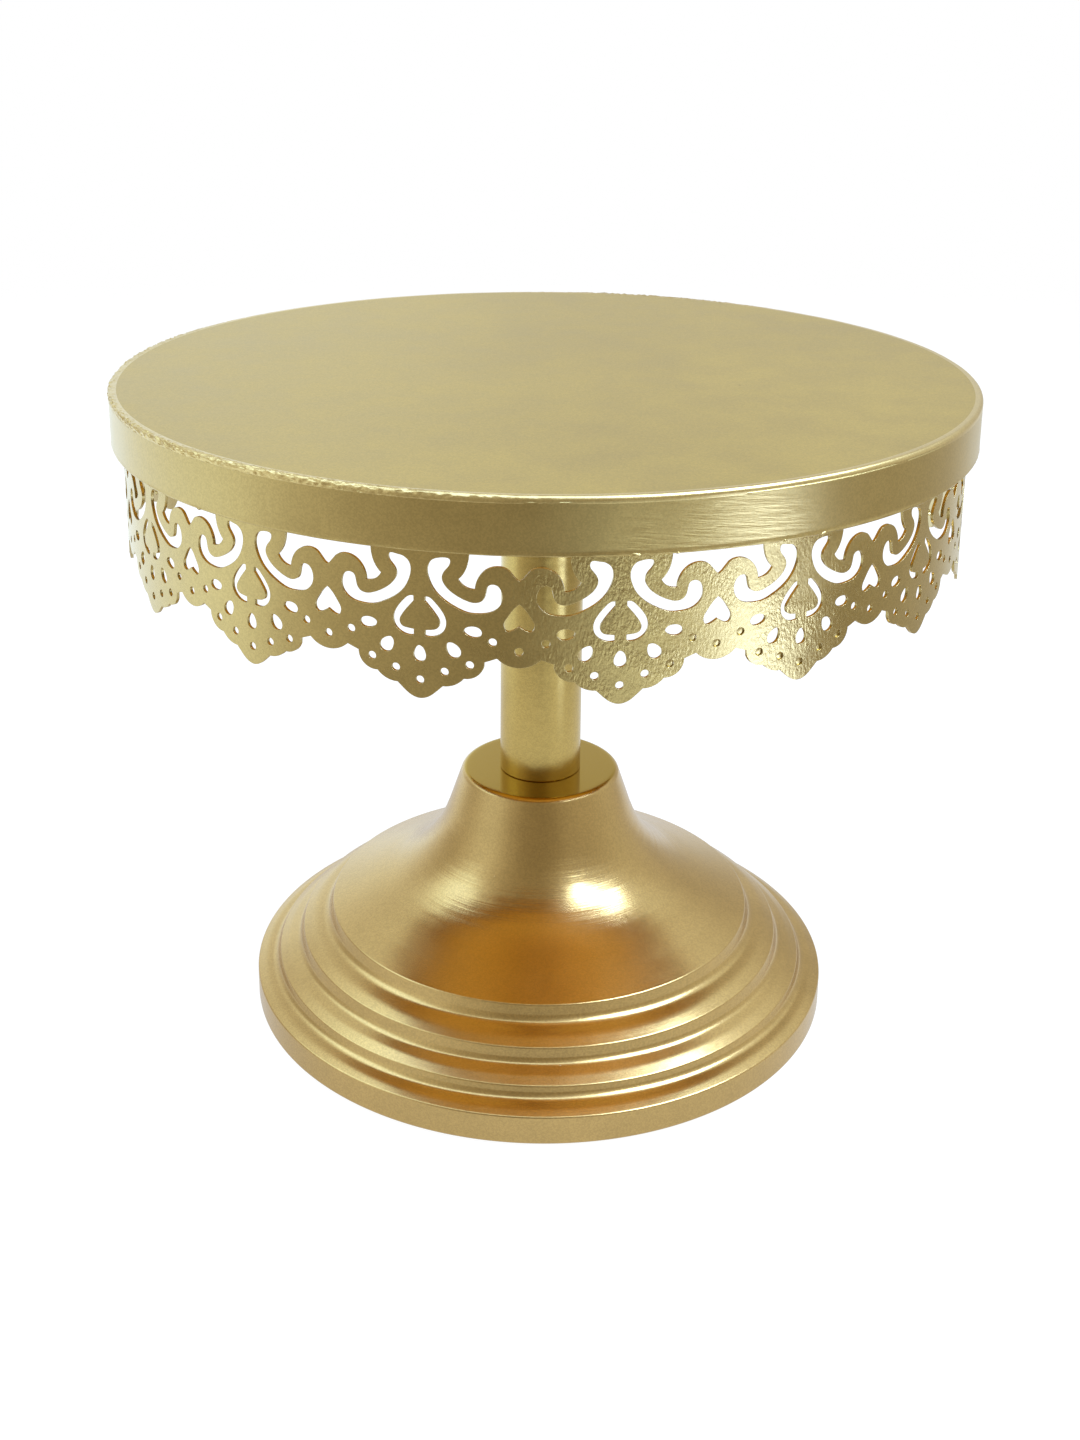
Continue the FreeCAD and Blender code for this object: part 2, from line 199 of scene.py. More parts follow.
class Nodes:
    """A small helper that adds shader nodes to a node tree and joins them."""

    def __init__(self, tree):
        self.tree = tree
        tree.nodes.clear()

    def add(self, kind, **values):
        node = self.tree.nodes.new(kind)
        for key, value in values.items():
            setattr(node, key, value)
        return node

    def put(self, socket, value):
        if isinstance(value, bpy.types.NodeSocket):
            self.tree.links.new(value, socket)
        else:
            socket.default_value = value

    def fill(self, node, **values):
        """Sets inputs by name, with spaces written as underscores."""
        for key, value in values.items():
            self.put(node.inputs[key.replace("_", " ")], value)
        return node

    def place(self):
        return self.add("ShaderNodeTexCoord").outputs["Object"]

    def math(self, operation, a, b=0.0, c=0.0):
        node = self.add("ShaderNodeMath", operation=operation)
        for socket, value in zip(node.inputs, (a, b, c)):
            self.put(socket, value)
        return node.outputs[0]

    def split(self, vector):
        node = self.add("ShaderNodeSeparateXYZ")
        self.put(node.inputs[0], vector)
        return node.outputs

    def join(self, x, y, z=0.0):
        node = self.add("ShaderNodeCombineXYZ")
        for socket, value in zip(node.inputs, (x, y, z)):
            self.put(socket, value)
        return node.outputs[0]

    def noise(self, vector, scale, detail=2.0, roughness=0.5):
        node = self.add("ShaderNodeTexNoise")
        self.fill(node, Vector=vector, Scale=scale, Detail=detail, Roughness=roughness)
        return node.outputs["Fac"]

    def ramp(self, value, low, high, out_low=0.0, out_high=1.0):
        node = self.add("ShaderNodeMapRange", interpolation_type="SMOOTHSTEP")
        self.fill(node, Value=value, From_Min=low, From_Max=high, To_Min=out_low, To_Max=out_high)
        return node.outputs["Result"]

    def mix(self, factor, a, b):
        node = self.add("ShaderNodeMix", data_type="RGBA")
        for index, value in ((0, factor), (6, a), (7, b)):
            self.put(node.inputs[index], value)
        return node.outputs[2]

    def scaled(self, colour, factor):
        """A colour times a number."""
        node = self.add("ShaderNodeVectorMath", operation="SCALE")
        self.put(node.inputs[0], colour)
        self.put(node.inputs["Scale"], factor)
        return node.outputs[0]

    def bump(self, height, distance, normal=None):
        node = self.fill(self.add("ShaderNodeBump"), Height=height, Strength=1.0, Distance=distance)
        if normal:
            self.put(node.inputs["Normal"], normal)
        return node.outputs["Normal"]

    def azimuth(self, x, y):
        """The angle of a point or direction round the stand, from the front towards +X, in radians."""
        return self.math("ARCTAN2", x, self.math("MULTIPLY", y, -1.0))

    def facing(self, azimuth, centre_deg, inner_deg, outer_deg):
        """1 within the inner angle of a place round the stand, falling to 0 at the outer angle."""
        turned_by = self.math("SUBTRACT", azimuth, math.radians(centre_deg))
        near = self.math("COSINE", turned_by)
        return self.ramp(near, math.cos(math.radians(outer_deg)), math.cos(math.radians(inner_deg)))


def new_material(name):
    material = bpy.data.materials.new(name)
    material.use_nodes = True
    return material, Nodes(material.node_tree)


def finish_material(n, shader):
    n.put(n.add("ShaderNodeOutputMaterial").inputs["Surface"], shader)


def rgba(colour, level=1.0):
    return tuple(min(1.0, c * level) for c in colour) + (1.0,)


class Surface:
    """What every gold paint starts from: its place, flake, mottling and a fine grain."""

    def __init__(self, name, colour, rough):
        self.material, n = new_material(name)
        self.n = n
        self.at = n.place()
        self.x, self.y, self.z = n.split(self.at)
        self.azimuth = n.azimuth(self.x, self.y)
        flake = n.fill(n.add("ShaderNodeTexVoronoi"), Vector=self.at, Scale=2600.0)
        sparkle = n.split(flake.outputs["Color"])[0]
        mottle = n.noise(self.at, 11.0, 4.0, 0.55)
        patches = n.noise(self.at, 70.0, 3.0, 0.6)
        colour_now = n.mix(n.ramp(mottle, 0.3, 0.7), rgba(colour, 0.95), rgba(colour, 1.04))
        level = n.ramp(patches, 0.3, 0.7, 0.97, 1.03)
        level = n.math("MULTIPLY", level, n.ramp(sparkle, 0.0, 1.0, 0.93, 1.07))
        self.colour = n.scaled(colour_now, level)
        self.rough = n.math("ADD", n.ramp(mottle, 0.3, 0.7, rough - 0.02, rough + 0.02),
                            n.ramp(patches, 0.3, 0.7, -0.015, 0.015))
        self.height = n.math("MULTIPLY", n.noise(self.at, 2200.0, 1.0), 0.02)

    def radius(self):
        """How far the place is from the Z axis."""
        n = self.n
        squares = [n.math("MULTIPLY", side, side) for side in (self.x, self.y)]
        return n.math("SQRT", n.math("ADD", *squares))

    def raise_by(self, field, amount):
        self.height = self.n.math("MULTIPLY_ADD", field, amount, self.height)

    def roughen(self, field, low, high):
        self.rough = self.n.math("ADD", self.rough, self.n.ramp(field, 0.3, 0.7, low, high))

    def specks(self, scale, size, tone, share):
        """Small dust specks under the paint, a share of them left out."""
        n = self.n
        cells = n.fill(n.add("ShaderNodeTexVoronoi"), Vector=self.at, Scale=scale)
        spot = n.ramp(cells.outputs["Distance"], size, size * 0.5)
        kept = n.math("LESS_THAN", n.split(cells.outputs["Color"])[1], share)
        spot = n.math("MULTIPLY", spot, kept)
        self.colour = n.mix(spot, self.colour, rgba(tone))
        self.raise_by(spot, 0.6)

    def finish(self, coat=0.15, edge_mm=0.25):
        """The paint itself, with its edges softened by the paint's own thickness and lightened a little,
        partly as wear and partly as a painted highlight.
        """
        n = self.n
        soft = n.add("ShaderNodeBevel", samples=4)
        n.fill(soft, Radius=edge_mm * MM)
        shape = n.add("ShaderNodeNewGeometry")
        bend = n.add("ShaderNodeVectorMath", operation="DOT_PRODUCT")
        n.put(bend.inputs[0], soft.outputs[0])
        n.put(bend.inputs[1], shape.outputs["Normal"])
        # edges turned a lighter gold: partly wear, partly a painted highlight
        wear_and_sheen = n.ramp(bend.outputs["Value"], 0.97, 0.75, 0.0, 0.35)
        self.colour = n.mix(wear_and_sheen, self.colour, rgba(WORN_AND_SHEEN_GOLD))
        normal = n.bump(self.height, 0.00012, soft.outputs[0])
        paint = n.add("ShaderNodeBsdfPrincipled")
        n.fill(paint, Base_Color=self.colour, Metallic=1.0, Roughness=self.rough, Normal=normal,
               Coat_Weight=coat, Coat_Roughness=0.3)
        finish_material(n, paint.outputs[0])
        return self.material


# ---- Gold paints --------------------------------------------------------------------------------------

KHAKI_GOLD = (0.515, 0.380, 0.105)
BAND_GOLD = (0.55, 0.425, 0.165)
BASE_GOLD = (0.56, 0.39, 0.145)
TUBE_GOLD = (0.57, 0.42, 0.13)
DEEP_GOLD = (0.92, 0.55, 0.12)
EDGE_GOLD = (0.66, 0.52, 0.22)
# painted shade: the darker gold of the neck's flat top, which lies in the shade of the plate
NECK_SHADE_GOLD = (0.44, 0.29, 0.034)
CUT_EDGE = (0.50, 0.39, 0.15)
PALE_SPECK = (0.86, 0.74, 0.45)
DARK_SPECK = (0.20, 0.13, 0.04)
# lighter gold for the edges: partly wear, partly a painted highlight
WORN_AND_SHEEN_GOLD = (0.80, 0.68, 0.40)

# Where the paint has its marks: the middle in degrees from the front towards +X, the angle from there up to
# which a mark is full, and the angle at which it has gone
BEADED = (-68, 45, 75)
STREAKED = (18, 6, 14)
BRUSHED = (-48, 8, 20)
PEELED = [(8, 8, 17), (34, 6, 12)]

BAND_ARC = 0.12               # metres round the band for each radian
LACE_ARC = 0.122              # and round the lace
# Heights in metres on the base: where its rings grow clear above the steps, where they fade again towards
# the neck, and where the neck's flat top begins, with its deeper gloss and its darker gold of painted shade
FLARE_FOOT = (0.036, 0.042)
FLARE_HEAD = (0.066, 0.056)
NECK_TOP = (0.0731, 0.0734)


def plate_paint():
    """Matte spray on the top: even, with a few dark specks."""
    s = Surface("plate paint", KHAKI_GOLD, 0.42)
    s.raise_by(s.n.noise(s.at, 420.0, 2.0), 0.25)
    s.specks(55.0, 0.022, DARK_SPECK, 0.35)
    return s.finish()


def under_paint():
    """Deeper gold under the plate, where the spray is thin."""
    s = Surface("under paint", DEEP_GOLD, 0.4)
    s.raise_by(s.n.noise(s.at, 500.0, 2.0), 0.3)
    return s.finish()


def bead_paint():
    """Thick paint on the plate's edge, grainy where the edge has its bead."""
    s = Surface("edge paint", EDGE_GOLD, 0.3)
    grain = s.n.noise(s.at, 1100.0, 2.0, 0.6)
    s.raise_by(s.n.math("MULTIPLY", grain, s.n.facing(s.azimuth, *BEADED)), 0.8)
    return s.finish()


def band_paint():
    """Paint on the band: upright marks at the left, slanting streaks right of the front, specks all round."""
    s = Surface("band paint", BAND_GOLD, 0.3)
    n = s.n
    along = n.math("MULTIPLY", s.azimuth, 0.012)
    slope = n.math("MULTIPLY_ADD", s.azimuth, 0.014, s.z)
    streaks = n.noise(n.join(along, slope), 900.0, 3.0, 0.6)
    broken = n.ramp(n.noise(s.at, 60.0, 2.0), 0.4, 0.65)
    where = n.math("MULTIPLY", n.facing(s.azimuth, *STREAKED), broken)
    s.raise_by(n.math("MULTIPLY", n.ramp(streaks, 0.35, 0.65), where), 0.22)
    across = n.math("MULTIPLY", s.azimuth, BAND_ARC)
    upright = n.noise(n.join(across, n.math("MULTIPLY", s.z, 0.08)), 700.0, 2.0)
    s.raise_by(n.math("MULTIPLY", upright, n.facing(s.azimuth, *BRUSHED)), 0.35)
    s.raise_by(n.noise(s.at, 500.0, 2.0), 0.15)
    s.specks(150.0, 0.045, PALE_SPECK, 0.25)
    return s.finish()


def lace_paint():
    """Paint on the lace: orange peel in two places right of the front, and a duller gold in its cut edges."""
    s = Surface("lace paint", BAND_GOLD, 0.27)
    n = s.n
    across = n.math("MULTIPLY", s.azimuth, LACE_ARC)
    grain = n.noise(n.join(n.math("MULTIPLY", across, 1.5), s.z, s.x), 900.0, 2.0, 0.55)
    creased = n.noise(n.join(n.math("MULTIPLY", across, 2.4), n.math("MULTIPLY", s.z, 0.8)), 620.0, 2.0, 0.5)
    where = n.math("ADD", *[n.facing(s.azimuth, *place) for place in PEELED])
    peel = n.math("MULTIPLY", where, n.ramp(n.noise(s.at, 75.0, 1.0), 0.38, 0.6, 0.4, 1.0))
    s.raise_by(n.math("MULTIPLY", grain, peel), 0.85)
    s.raise_by(n.math("MULTIPLY", creased, peel), 0.8)
    s.raise_by(n.noise(s.at, 600.0, 2.0), 0.12)
    normal = n.split(n.add("ShaderNodeNewGeometry").outputs["True Normal"])
    outward = n.math("ADD", n.math("MULTIPLY", normal[0], s.x), n.math("MULTIPLY", normal[1], s.y))
    outward = n.math("ABSOLUTE", n.math("DIVIDE", outward, s.radius()))
    s.colour = n.mix(n.ramp(outward, 0.85, 0.6), s.colour, rgba(CUT_EDGE))
    return s.finish(edge_mm=0.18)


def base_paint():
    """Satin paint over a spun sheet: faint rings, dust specks, and on top of the neck a deeper gloss and a
    painted shade in darker gold.
    """
    s = Surface("base paint", BASE_GOLD, 0.23)
    n = s.n
    long_arcs = n.math("MULTIPLY", s.azimuth, 0.0006)
    rings = n.noise(n.join(s.radius(), s.z, long_arcs), 1300.0, 2.0, 0.6)
    flare = n.math("MULTIPLY", n.ramp(s.z, *FLARE_FOOT), n.ramp(s.z, *FLARE_HEAD))
    s.raise_by(n.math("MULTIPLY", rings, n.math("MULTIPLY_ADD", flare, 0.92, 0.08)), 0.42)
    s.roughen(rings, -0.01, 0.01)
    s.specks(130.0, 0.03, PALE_SPECK, 0.12)
    # painted shade: the neck's flat top is turned a darker gold for the shade under the plate, and is also
    # made glossier
    neck_top_gloss_and_shade = n.ramp(s.z, *NECK_TOP)
    s.rough = n.math("MULTIPLY_ADD", neck_top_gloss_and_shade, -0.12, s.rough)
    s.colour = n.mix(neck_top_gloss_and_shade, s.colour, rgba(NECK_SHADE_GOLD))
    return s.finish()


def tube_paint():
    """Smooth paint on the column, slightly wavy."""
    s = Surface("tube paint", TUBE_GOLD, 0.25)
    s.raise_by(s.n.noise(s.at, 260.0, 1.0), 0.5)
    return s.finish()


# ---- Plated steel, nylon and foam ---------------------------------------------------------------------

def plain_metal(name, colour, rough):
    """Plated steel with a fine drawn grain and slight staining."""
    material, n = new_material(name)
    at = n.place()
    stain = n.noise(at, 60.0, 4.0, 0.6)
    base = n.mix(n.ramp(stain, 0.3, 0.7), rgba(colour, 0.8), rgba(colour))
    grain = n.noise(at, 700.0, 3.0, 0.6)
    soft = n.fill(n.add("ShaderNodeBevel", samples=4), Radius=0.2 * MM)
    roughness = n.ramp(grain, 0.3, 0.7, rough - 0.06, rough + 0.08)
    metal = n.add("ShaderNodeBsdfPrincipled")
    n.fill(metal, Base_Color=base, Metallic=1.0, Roughness=roughness,
           Normal=n.bump(grain, 0.00002, soft.outputs[0]))
    finish_material(n, metal.outputs[0])
    return material


def soft_polymer(name, colour, rough, scale):
    """Nylon or foam rubber: fine pores and a slight bloom."""
    material, n = new_material(name)
    at = n.place()
    pores = n.noise(at, scale, 4.0, 0.6)
    bloom = n.noise(at, 80.0, 2.0, 0.5)
    pale = tuple(c * 1.5 + 0.02 for c in colour) + (1,)
    base = n.mix(n.ramp(bloom, 0.35, 0.7, 0.0, 0.5), rgba(colour), pale)
    body = n.add("ShaderNodeBsdfPrincipled")
    n.fill(body, Base_Color=base, Roughness=n.ramp(pores, 0.3, 0.7, rough - 0.05, rough + 0.08),
           Normal=n.bump(pores, 0.00008))
    finish_material(n, body.outputs[0])
    return material


PLATE = plate_paint()
UNDER = under_paint()
BEAD = bead_paint()
BAND = band_paint()
LACE = lace_paint()
BASE = base_paint()
TUBE = tube_paint()
ZINC = plain_metal("zinc plate", (0.62, 0.63, 0.65), 0.3)
NYLON = soft_polymer("nylon", (0.02, 0.02, 0.02), 0.45, 900.0)
FOAM = soft_polymer("foam rubber", (0.015, 0.015, 0.015), 0.8, 1800.0)


# ---- Plate --------------------------------------------------------------------------------------------

EDGE_BAND = 2.2               # how far the edge's paint runs in over the top
SEAM_DROP = 0.7               # how far it runs down over the band


def weld_poles(piece):
    """Makes one point of the points that meet on the Z axis."""
    work = bmesh.new()
    work.from_mesh(piece.data)
    poles = [v for v in work.verts if math.hypot(v.co.x, v.co.y) < 1e-6]
    bmesh.ops.remove_doubles(work, verts=poles, dist=1e-6)
    work.to_mesh(piece.data)
    work.free()


def bead_share(angle):
    """How much rough paint bead there is: all of it from the left to near the front, none at the right."""
    return np.clip(2.2 * facing(angle, -68, 78) + 1.2 * facing(angle, 160, 30), 0, 1)


def plate_piece():
    """The flat top sheet, with the paint that runs over its joint with the band."""
    skin = PLATE_UNDER - SEAM_DROP
    flat = [np.array([r, PLATE_TOP]) for r in (0.0, 30.0, 60.0, 90.0, 112.0, 120.0)]
    corners = [
        (PLATE_R - EDGE_BAND, PLATE_TOP, 0), (PLATE_R, PLATE_TOP, 1.1),
        (PLATE_R, skin, 0.2), (PLATE_R - 0.6, skin, 0),
    ]
    edge = spread(rounded(corners), 0.22)
    below = [np.array([r, PLATE_UNDER]) for r in (PLATE_R - 1.0, 60.0, 0.0)]
    profile = flat + edge + below

    def shape(radius, angle, height):
        away = np.hypot(radius - (PLATE_R - 0.35), height - (PLATE_TOP - 0.35))
        near = np.clip(1 - away / (EDGE_BAND - 0.5), 0, 1)
        fine = grains(radius.shape, 3, 3)
        fine = (fine + np.roll(fine, 1, 1) + np.roll(fine, -1, 1)) / 3
        coarse = grains(radius.shape, 4, 8)
        coarse = (coarse + np.roll(coarse, 1, 1) + np.roll(coarse, -1, 1)) / 3
        bead = bead_share(angle) * (0.25 + 1.0 * (fine - 0.5) + 0.35 * (coarse - 0.5))
        slow = 0.02 * wave(angle, 5, 8, 40, 8)
        swell = np.sqrt(near) * (bead + slow)
        return radius + 0.7 * swell, height + 0.6 * swell

    points, faces = turned(profile, 2240, False, shape)
    piece = add_mesh("plate_top", points, faces, "plate", PLATE, ["plate_disc"])
    piece.data.materials.append(BEAD)
    piece.data.materials.append(UNDER)
    stretches = len(profile) - 1
    which = [0] * len(flat) + [1] * (len(edge) - 1) + [2] * len(below)
    piece.data.polygons.foreach_set("material_index", [which[i % stretches] for i in range(len(faces))])
    weld_poles(piece)
    weigh_normals(piece)


def band_piece():
    """The band with its lower edge, where a thin lip of weld shows right of the front, and its hem."""
    outline = rounded([
        (PLATE_R, PLATE_UNDER, 0), (PLATE_R, HOOP_FOOT + 1.1, 0), (PLATE_R, HOOP_FOOT, 0.5),
        (SKIRT_R, HOOP_FOOT, 0.2), (SKIRT_R, HOOP_FOOT + 1, 0.2), (PLATE_R - 1, HOOP_FOOT + 1, 0.6),
        (PLATE_R - 1, PLATE_UNDER, 0),
    ])
    profile = spread(outline, 0.45)

    def shape(radius, angle, height):
        outside = radius > PLATE_R - 0.9
        dents = 0.03 * wave(angle, 11, 4, 20, 7)
        drop = np.clip(1 - np.abs(height - HOOP_FOOT - 0.3) / 0.7, 0, 1)
        lip = drop * (0.05 + 0.22 * facing(angle, 24, 42))
        grain = 0.10 * drop * (grains(radius.shape, 12, 5) - 0.5)
        return radius + outside * (dents + lip + grain), height

    points, faces = turned(profile, 1440, True, shape)
    weigh_normals(add_mesh("rim_band", points, faces, "plate", BAND, ["rim_hoop"]))


# ---- Small marks of welding and painting on the band and the lace -------------------------------------

def at_place(azimuth_deg, radius, height):
    a = math.radians(azimuth_deg)
    return np.array([radius * math.sin(a), -radius * math.cos(a), height])


def blob(centre, out, along, across, depth, seed):
    """Points and faces of a lumpy drop of weld or paint: a ball with its own length, width and depth."""
    random = np.random.default_rng(seed)
    rows = 10
    cols = 16
    up = np.array([0.0, 0.0, 1.0])
    side = np.cross(up, out)
    points = []
    for i in range(rows + 1):
        polar = math.pi * i / rows
        for j in range(cols):
            turn = 2 * math.pi * j / cols
            lump = 1 + 0.12 * math.sin(3 * turn + seed) + random.uniform(-0.04, 0.04)
            ball = math.sin(polar) * lump
            points.append(centre + side * along * ball * math.cos(turn) + up * across * ball * math.sin(turn)
                          + out * depth * math.cos(polar))
    faces = []
    for i in range(rows):
        for j in range(cols):
            k = (j + 1) % cols
            faces.append((i * cols + j, (i + 1) * cols + j, (i + 1) * cols + k, i * cols + k))
    return points, faces


def joined(parts):
    """Points and faces of several shapes as one list of each."""
    points = []
    faces = []
    for more_points, more_faces in parts:
        start = len(points)
        points += list(more_points)
        faces += [tuple(start + i for i in face) for face in more_faces]
    return points, faces


def closed_ends(piece):
    """Joins each blob's points that meet at its ends."""
    work = bmesh.new()
    work.from_mesh(piece.data)
    bmesh.ops.remove_doubles(work, verts=work.verts, dist=1e-6)
    bmesh.ops.recalc_face_normals(work, faces=work.faces)
    work.to_mesh(piece.data)
    work.free()


# Drops on the band's lower edge: azimuth in degrees, half-length, half-height
HEM_DROPS = [
    (8.9, 1.3, 0.55), (13.5, 0.5, 0.3), (26.2, 0.6, 0.35), (31.5, 1.4, 0.45), (-44.0, 0.7, 0.3),
    (118.0, 1.1, 0.5), (-141.0, 1.2, 0.4),
]


def weld_drops():
    """Drops of weld along the lower edge of the band."""
    parts = []
    for i, (azimuth, length, height) in enumerate(HEM_DROPS):
        out = at_place(azimuth, 1.0, 0.0)
        centre = at_place(azimuth, PLATE_R - 0.1, HOOP_FOOT + 0.25)
        parts.append(blob(centre, out, length, height, 0.45, i + 1))
    points, faces = joined(parts)
    closed_ends(add_mesh("weld_drops", points, faces, "plate", BAND))


# The pattern's round holes: across from the middle of a lobe, and down from the top of the plate
DOTS = [
    (0.0, 48.0), (6.0, 45.4), (-6.0, 45.4), (12.05, 43.25), (-12.05, 43.25), (17.45, 37.15), (-17.45, 37.15),
]
VALLEY_DOT = (23.68, 39.3)
DOT_R = 1.03
# The holes that paint has closed: which lobe right of the front, and which of its dots
FILMED = [(0, DOTS[3]), (0, DOTS[5]), (0, VALLEY_DOT)]
FILMED += [(1, dot) for dot in DOTS[:5] + DOTS[6:]]


def dot_films():
    """Thin skins of paint that close some of the small holes in the lace."""
    parts = []
    for lobe, (across, down) in FILMED:
        turn = math.degrees(across * PATTERN_STRETCH / SKIRT_R)
        azimuth = FRONT_LOBE_DEG + lobe * LOBE_STEP_DEG + turn
        out = at_place(azimuth, 1.0, 0.0)
        centre = at_place(azimuth, SKIRT_R - SKIRT_SHEET * 0.6, PLATE_TOP - down)
        parts.append(blob(centre, out, DOT_R + 0.06, DOT_R + 0.06, 0.16, 5))
    points, faces = joined(parts)
    closed_ends(add_mesh("paint_films", points, faces, "plate", LACE))


# ---- Column and base ----------------------------------------------------------------------------------

TUBE_WALL = 1.2


def tube_piece():
    """The column's tube, with its ends eased."""
    r = tube_high[0]
    low = tube_low[2]
    top = tube_high[2]
    inner = r - TUBE_WALL
    outline = rounded([(inner, low, 0), (r, low, 0.35), (r, top, 0.3), (inner, top, 0.1), (inner, low, 0)])
    points, faces = turned(spread(outline[:-1], 3.0), 256, True)
    weigh_normals(add_mesh("column_skin", points, faces, "pedestal", TUBE, ["column_tube"]))


BASE_SHEET = 0.8
BASE_CORNERS = [
    (4.5, 73.5, 0),
    (24.2, 73.5, 2.0),
    (34.0, 44.6, 39.0),
    (58.0, 33.0, 30.0),
    (65.6, 29.5, 0.7),
    (66.8, 24.8, 3.4),
    (71.6, 23.6, 9.0),
    (75.0, 21.6, 0.7),
    (76.0, 17.7, 2.8),
    (79.8, 16.1, 8.0),
    (82.6, 14.4, 0.7),
    (83.5, 11.2, 2.8),
    (87.2, 10.6, 6.0),
    (89.8, 9.3, 0.7),
    (89.8, 0.5, 1.0),
    (78.5, 0.5, 0),
]


def base_piece():
    """The spun base: the outer face, and an inner face one sheet's thickness behind it."""
    outer = spread(rounded(BASE_CORNERS, 6.0), 1.5)
    steps = [b - a for a, b in zip(outer, outer[1:])]
    normals = [np.array([-s[1], s[0]]) / np.linalg.norm(s) for s in steps]
    mitres = [normals[0]] + [a + b for a, b in zip(normals, normals[1:])] + [normals[-1]]
    inner = [p - BASE_SHEET * m / np.linalg.norm(m) for p, m in zip(outer, mitres)]
    points, faces = turned(outer + inner[::-1], 480, True)
    weigh_normals(add_mesh("base_skin", points, faces, "pedestal", BASE, ["base_shell"]))


# ---- Threads ------------------------------------------------------------------------------------------

THREAD_DEPTH = 0.65
ROWS_PER_TURN = 10


def thread(radius, angle, height, low, high):
    """Cuts a right-hand thread into the part of a turned shank between two heights."""
    phase = (height / THREAD_PITCH - angle / (2 * math.pi)) % 1
    groove = np.clip(1.25 - 2.9 * np.abs(phase - 0.5), 0, 1)
    ends = np.clip((height - low) / 0.8, 0, 1) * np.clip((high - height) / 0.8, 0, 1)
    on_shank = (height > low) & (height < high) & (radius > THREAD_R - 0.05)
    return radius - THREAD_DEPTH * groove * ends * on_shank


def shank(low, high):
    """A profile up the side of a shank, fine enough for its thread."""
    rows = math.ceil((high - low) / THREAD_PITCH * ROWS_PER_TURN)
    return [np.array([THREAD_R, low + (high - low) * i / rows]) for i in range(rows + 1)]


def stud_piece():
    """The threaded stud under the plate."""
    low = stud_low[2]
    high = stud_high[2]
    foot = [np.array([0.0, low]), np.array([THREAD_R - 0.6, low])]
    profile = foot + shank(low + 0.6, high) + [np.array([0.0, high])]

    def shape(radius, angle, height):
        return thread(radius, angle, height, low + 0.3, high), height

    points, faces = turned(profile[::-1], 96, False, shape)
    piece = add_mesh("stud_thread", points, faces, "plate", ZINC, ["plate_stud"])
    weld_poles(piece)


def bolt_piece():
    """The hexagon head with its chamfered corners, and the threaded shank above it."""
    low = bolt_low[2]
    seat = spring_low[2]
    tip = bolt_high[2]
    across = 2 * bolt_high[1]
    corner_r = across / math.sqrt(3)
    face_r = across / 2 - 0.3
    head = [(0.0, low), (face_r - 1.2, low), (face_r, low), (corner_r, low + (corner_r - face_r) / 1.75)]
    head += [(corner_r, seat - 0.5), (corner_r - 0.3, seat), (THREAD_R, seat)]
    profile = [np.array(p) for p in head] + shank(seat, tip - 0.6)
    profile += [np.array([THREAD_R - 0.6, tip]), np.array([0.0, tip])]

    def shape(radius, angle, height):
        sixth = math.pi / 3
        flat = across / 2 / np.cos((angle + sixth / 2) % sixth - sixth / 2)
        radius = np.where(height < seat + 1e-6, np.minimum(radius, np.maximum(flat, THREAD_R)), radius)
        return thread(radius, angle, height, seat + 1.0, tip - 0.3), height

    points, faces = turned(profile[::-1], 192, False, shape)
    piece = add_mesh("bolt_thread", points, faces, "bolt", ZINC, ["base_bolt"])
    weld_poles(piece)


plate_piece()
band_piece()
weld_drops()
dot_films()
tube_piece()
base_piece()
stud_piece()
bolt_piece()

# ---- CAD nodes that keep their shape ------------------------------------------------------------------

FINISHES = {
    "lace_skirt": LACE, "skirt_tack_welds": UNDER, "stiffener_plate": UNDER, "plate_washer": NYLON,
    "column_top_insert": ZINC, "column_foot_insert": ZINC, "neck_stiffener": BASE, "foot_pads": FOAM,
    "flat_washer": ZINC, "spring_washer": ZINC,
}
for node, material in FINISHES.items():
    slots = NODES[node].data.materials
    slots.clear()
    slots.append(material)


# ---- Stage: floor, light and camera -------------------------------------------------------------------

FLOOR_HALF = 6.0
FLOOR_SEEN = 0.95             # the floor's own level, as the camera sees it
FLOOR_MIRRORED = 0.68         # and as the metal mirrors it
FLOOR_GREY = 0.12             # how much of the light that falls on it the floor gives back
# Distances in metres over which the floor fades, as the metal mirrors it and as the camera sees it
MIRROR_FADE = (0.20, 0.42)
SIGHT_FADE = (0.5, 1.3)


